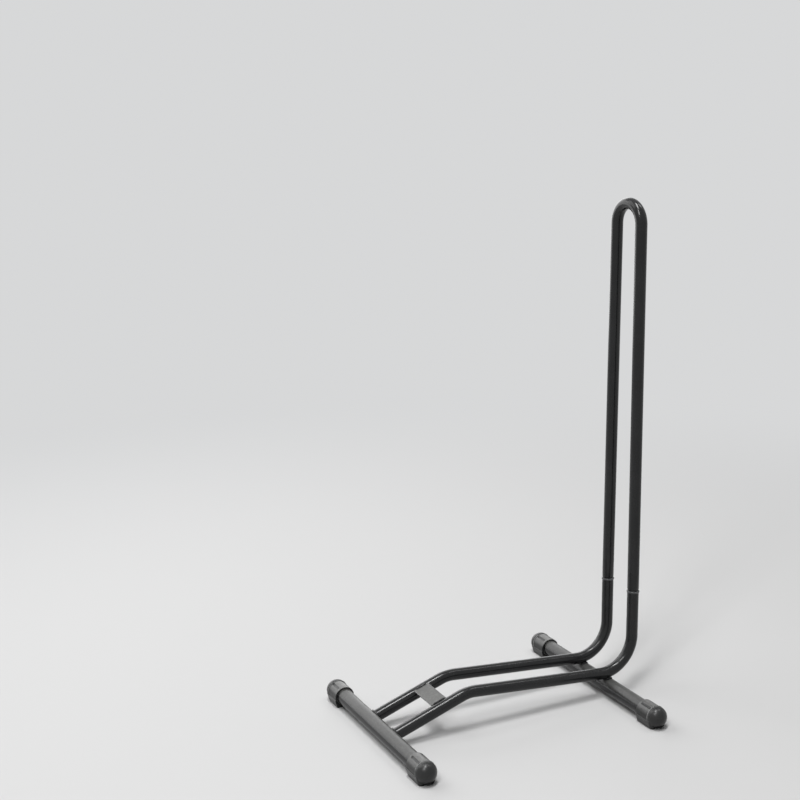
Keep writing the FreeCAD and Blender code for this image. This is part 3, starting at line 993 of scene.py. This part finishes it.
def capStations(s):
    # places along the cap at which the section changes, from the dome's tip to the mouth
    depth = s["domeDepth"] + s["rimBack"]
    count = s["domeSteps"]
    dome = [depth * (1 - (i / count) ** 2) - s["rimBack"] for i in range(1, count + 1)]
    foot = [s["footReach"] + step for step in (sliver, -sliver, -0.3 * mm)]
    foot += [s["footReach"] - s["footEndRound"] * i / 6 for i in range(1, 6)]
    arch = [-s["endWall"] / 2 + 2 * sliver, -s["endWall"] / 2 - 2 * sliver]
    rim = [-s["rimBack"] - s["rimWidth"] * i / 8 for i in range(9)]
    length = s["grip"] + s["endWall"]
    body = [-length * i / s["sleeveSteps"] for i in range(3, s["sleeveSteps"])]
    body = [t for t in body if t < -s["rimBack"] - s["rimWidth"] - 0.2 * mm]
    mouth = [-length + s["mouthRound"] * 0.3 * f for f in (1.0, 0.3, 0.0)]
    fixed = foot + arch + rim + body + mouth
    dome = [t for t in dome if min(abs(t - f) for f in fixed) > 0.12 * mm]
    return sorted(set(dome + fixed), reverse=True)


def shapeRing(ring, end, sign, t, radiusOf, s):
    y = sign * (crossHalf[end] + s["endWall"] + t)
    for i, v in enumerate(ring):
        angle = 2 * math.pi * i / len(ring)
        radius = radiusOf(angle)
        v.co = (crossX[end] + radius * math.sin(angle), y, axisHeight + radius * math.cos(angle))


def makeCap(end, side, s):
    sign = sides[side]
    bm, ring = startTube(s["segments"])
    length = s["grip"] + s["endWall"]
    bore = crossRadius + s["gap"]
    for i, t in enumerate(capStations(s)):
        if i:
            ring = pushRing(bm, ring)
        edgeIn = 0.0
        if t < -length + s["mouthRound"] * 0.3:
            edgeIn = s["mouthRound"] * 0.3 - (t + length)
        shapeRing(ring, end, sign, t, lambda angle: capRadius(angle, t, s) - edgeIn * 0.6, s)
        markRing(bm, ring, t)
        if i == 0:
            closeRing(bm, ring)
    for i in range(s["mouthSteps"] + 1):
        turn = math.pi / 2 * i / s["mouthSteps"]
        radius = bore + s["mouthRound"] * (1 - math.sin(turn))
        depth = -length + s["mouthRound"] * (1 - math.cos(turn))
        ring = pushRing(bm, ring)
        shapeRing(ring, end, sign, depth, lambda angle: radius, s)
        markRing(bm, ring, depth)
        if i:
            for face in {f for v in ring for f in v.link_faces}:
                face.material_index = 1     # the mouth's rounded edge rubs pale and carries a painted highlight
    ring = pushRing(bm, ring)
    shapeRing(ring, end, sign, -s["endWall"], lambda angle: bore, s)
    markRing(bm, ring, -s["endWall"])
    closeRing(bm, ring)
    addUv(bm, 2 * math.pi * crossRadius)
    alongLayer = bm.verts.layers.float["along"]
    ringFront = -s["rimBack"] + sliver
    ringRear = -s["rimBack"] - s["rimWidth"] - sliver
    # so does the proud ring behind the dome on its upper side, there also a painted highlight, and dust with
    # a painted sheen films the sleeve's upper side, while the floors of its flutes keep the dark plastic as
    # painted shade
    for face in bm.faces:
        middle = face.calc_center_median()
        if middle.z < axisHeight - s["ledgeDrop"] or face.material_index:
            continue
        places = [v[alongLayer] for v in face.verts]
        if min(places) >= ringRear and max(places) <= ringFront:
            face.material_index = 1
        elif max(places) < ringRear + 0.1 * mm:
            angle = math.atan2(middle.x - crossX[end], middle.z - axisHeight)
            if fluteDip(angle, sum(places) / len(places), s) < s["fluteShadeDepth"]:
                face.material_index = 2
    name = end + side.capitalize() + "Cap"
    node = end + "_" + side + "_end_cap"
    finishes = [capPlastic, wornAndHighlitPlastic, sleeveDustAndSheen]
    addPiece(name, bm, "base_frame", node, finishes, s["smoothUpTo"])


for end in crossX:
    for side in sides:
        makeCap(end, side, capSizes)
print("caps made")

studio = {
    "floorColour": (0.64, 0.64, 0.64),
    "floorSize": 14.0,
    "floorRoughness": 0.9,
    "floorShine": 0.2,
    "backdrop": (0.68, 0.685, 0.69),
    "fadeFrom": 0.6,                 # the floor turns into the backdrop between these distances
    "fadeTo": 2.2,
    "fill": 0.05,                    # the little light that comes from everywhere
    "lamps": {                       # place, aim, width, height and power of each softbox
        "topSoftbox": ((-0.5, -0.4, 4.5), (-0.1, 0.0, 0.1), 0.75, 1.9, 104.0),
        "backSoftbox": ((-0.4, 3.0, 1.45), (-0.4, 0.0, 1.45), 5.4, 2.8, 84.0),
        "leftSoftbox": ((-1.8, 1.5, 2.9), (0.1, 0.0, 0.5), 2.2, 2.2, 30.0),
        "rightSoftbox": ((2.1, -0.2, 4.0), (0.0, 0.0, 0.1), 0.7, 1.5, 20.0),
        "sideSoftbox": ((-1.98, -1.54, 3.18), (0.21, 0.0, 0.75), 0.6, 1.5, 42.0),
    },
}


def seenRays(tree):
    # 1 where the camera, a reflection or glass looks at the backdrop
    path = tree.nodes.new("ShaderNodeLightPath")
    seen = addMath(tree, "MAXIMUM", path.outputs["Is Camera Ray"], path.outputs["Is Glossy Ray"])
    return addMath(tree, "MAXIMUM", seen, path.outputs["Is Transmission Ray"])


def makeFloor(s):
    bm = bmesh.new()
    bmesh.ops.create_grid(bm, x_segments=2, y_segments=2, size=s["floorSize"])
    mesh = bpy.data.meshes.new("floor")
    bm.to_mesh(mesh)
    bm.free()
    floor = bpy.data.objects.new("floor", mesh)
    bpy.context.scene.collection.objects.link(floor)
    material, tree, shader = newMaterial("paleFloor")
    place = coords(tree, "Object")
    cloud = addNoise(tree, place, 2.0, 3.0)
    dimmer = tuple(c * 0.985 for c in s["floorColour"])
    join(tree, addMix(tree, cloud, s["floorColour"], dimmer), shader.inputs["Base Color"])
    shader.inputs["Roughness"].default_value = s["floorRoughness"]
    shader.inputs["Specular IOR Level"].default_value = s["floorShine"]
    away = tree.nodes.new("ShaderNodeVectorMath")
    away.operation = "LENGTH"
    join(tree, place, away.inputs[0])
    far = addRamp(tree, away.outputs["Value"], s["fadeFrom"], s["fadeTo"])
    glow = tree.nodes.new("ShaderNodeEmission")
    glow.inputs["Color"].default_value = (*s["backdrop"], 1.0)
    blend = tree.nodes.new("ShaderNodeMixShader")
    join(tree, addMath(tree, "MULTIPLY", far, seenRays(tree)), blend.inputs["Fac"])
    join(tree, shader.outputs[0], blend.inputs[1])
    join(tree, glow.outputs[0], blend.inputs[2])
    output = next(n for n in tree.nodes if n.type == "OUTPUT_MATERIAL")
    join(tree, blend.outputs[0], output.inputs[0])
    mesh.materials.append(material)


def makeWorld(s):
    world = bpy.data.worlds.new("studio")
    bpy.context.scene.world = world
    world.use_nodes = True
    tree = world.node_tree
    tree.nodes.clear()
    output = tree.nodes.new("ShaderNodeOutputWorld")
    background = tree.nodes.new("ShaderNodeBackground")
    join(tree, addMix(tree, seenRays(tree), (s["fill"],) * 3, s["backdrop"]), background.inputs["Color"])
    join(tree, background.outputs[0], output.inputs[0])


def addSoftbox(name, place, aim, width, height, power):
    light = bpy.data.lights.new(name, "AREA")
    light.shape = "RECTANGLE"
    light.size = width
    light.size_y = height
    light.energy = power
    lamp = bpy.data.objects.new(name, light)
    bpy.context.scene.collection.objects.link(lamp)
    lamp.location = place
    lamp.rotation_euler = (Vector(aim) - Vector(place)).to_track_quat("-Z", "Y").to_euler()
    lamp.visible_camera = False


cameraView = {
    "azimuth": -26.345,
    "elevation": 12.584,
    "roll": -0.729,
    "focal": 1344.5,             # in pixels of the 800 pixel frame
    "frame": 800,
    "place": (-0.98117, -1.64280, 0.91273),
}


def makeCamera(s):
    a, e, r = (math.radians(s[k]) for k in ("azimuth", "elevation", "roll"))
    forward = Vector((-math.sin(a) * math.cos(e), math.cos(a) * math.cos(e), -math.sin(e)))
    right = Vector((math.cos(a), math.sin(a), 0))
    up = right.cross(forward)
    rolledRight = right * math.cos(r) + up * math.sin(r)
    rolledUp = up * math.cos(r) - right * math.sin(r)
    data = bpy.data.cameras.new("camera")
    data.sensor_width = 36.0
    data.lens = s["focal"] * data.sensor_width / s["frame"]
    data.clip_start = 0.05
    data.clip_end = 60.0
    camera = bpy.data.objects.new("camera", data)
    bpy.context.scene.collection.objects.link(camera)
    turn = Matrix((rolledRight, rolledUp, -forward)).transposed().to_4x4()
    camera.matrix_world = Matrix.Translation(Vector(s["place"])) @ turn
    bpy.context.scene.camera = camera


makeFloor(studio)
makeWorld(studio)
for lampName, lamp in studio["lamps"].items():
    addSoftbox(lampName, *lamp)
makeCamera(cameraView)
bpy.context.scene.view_settings.view_transform = "Standard"
print("studio made")
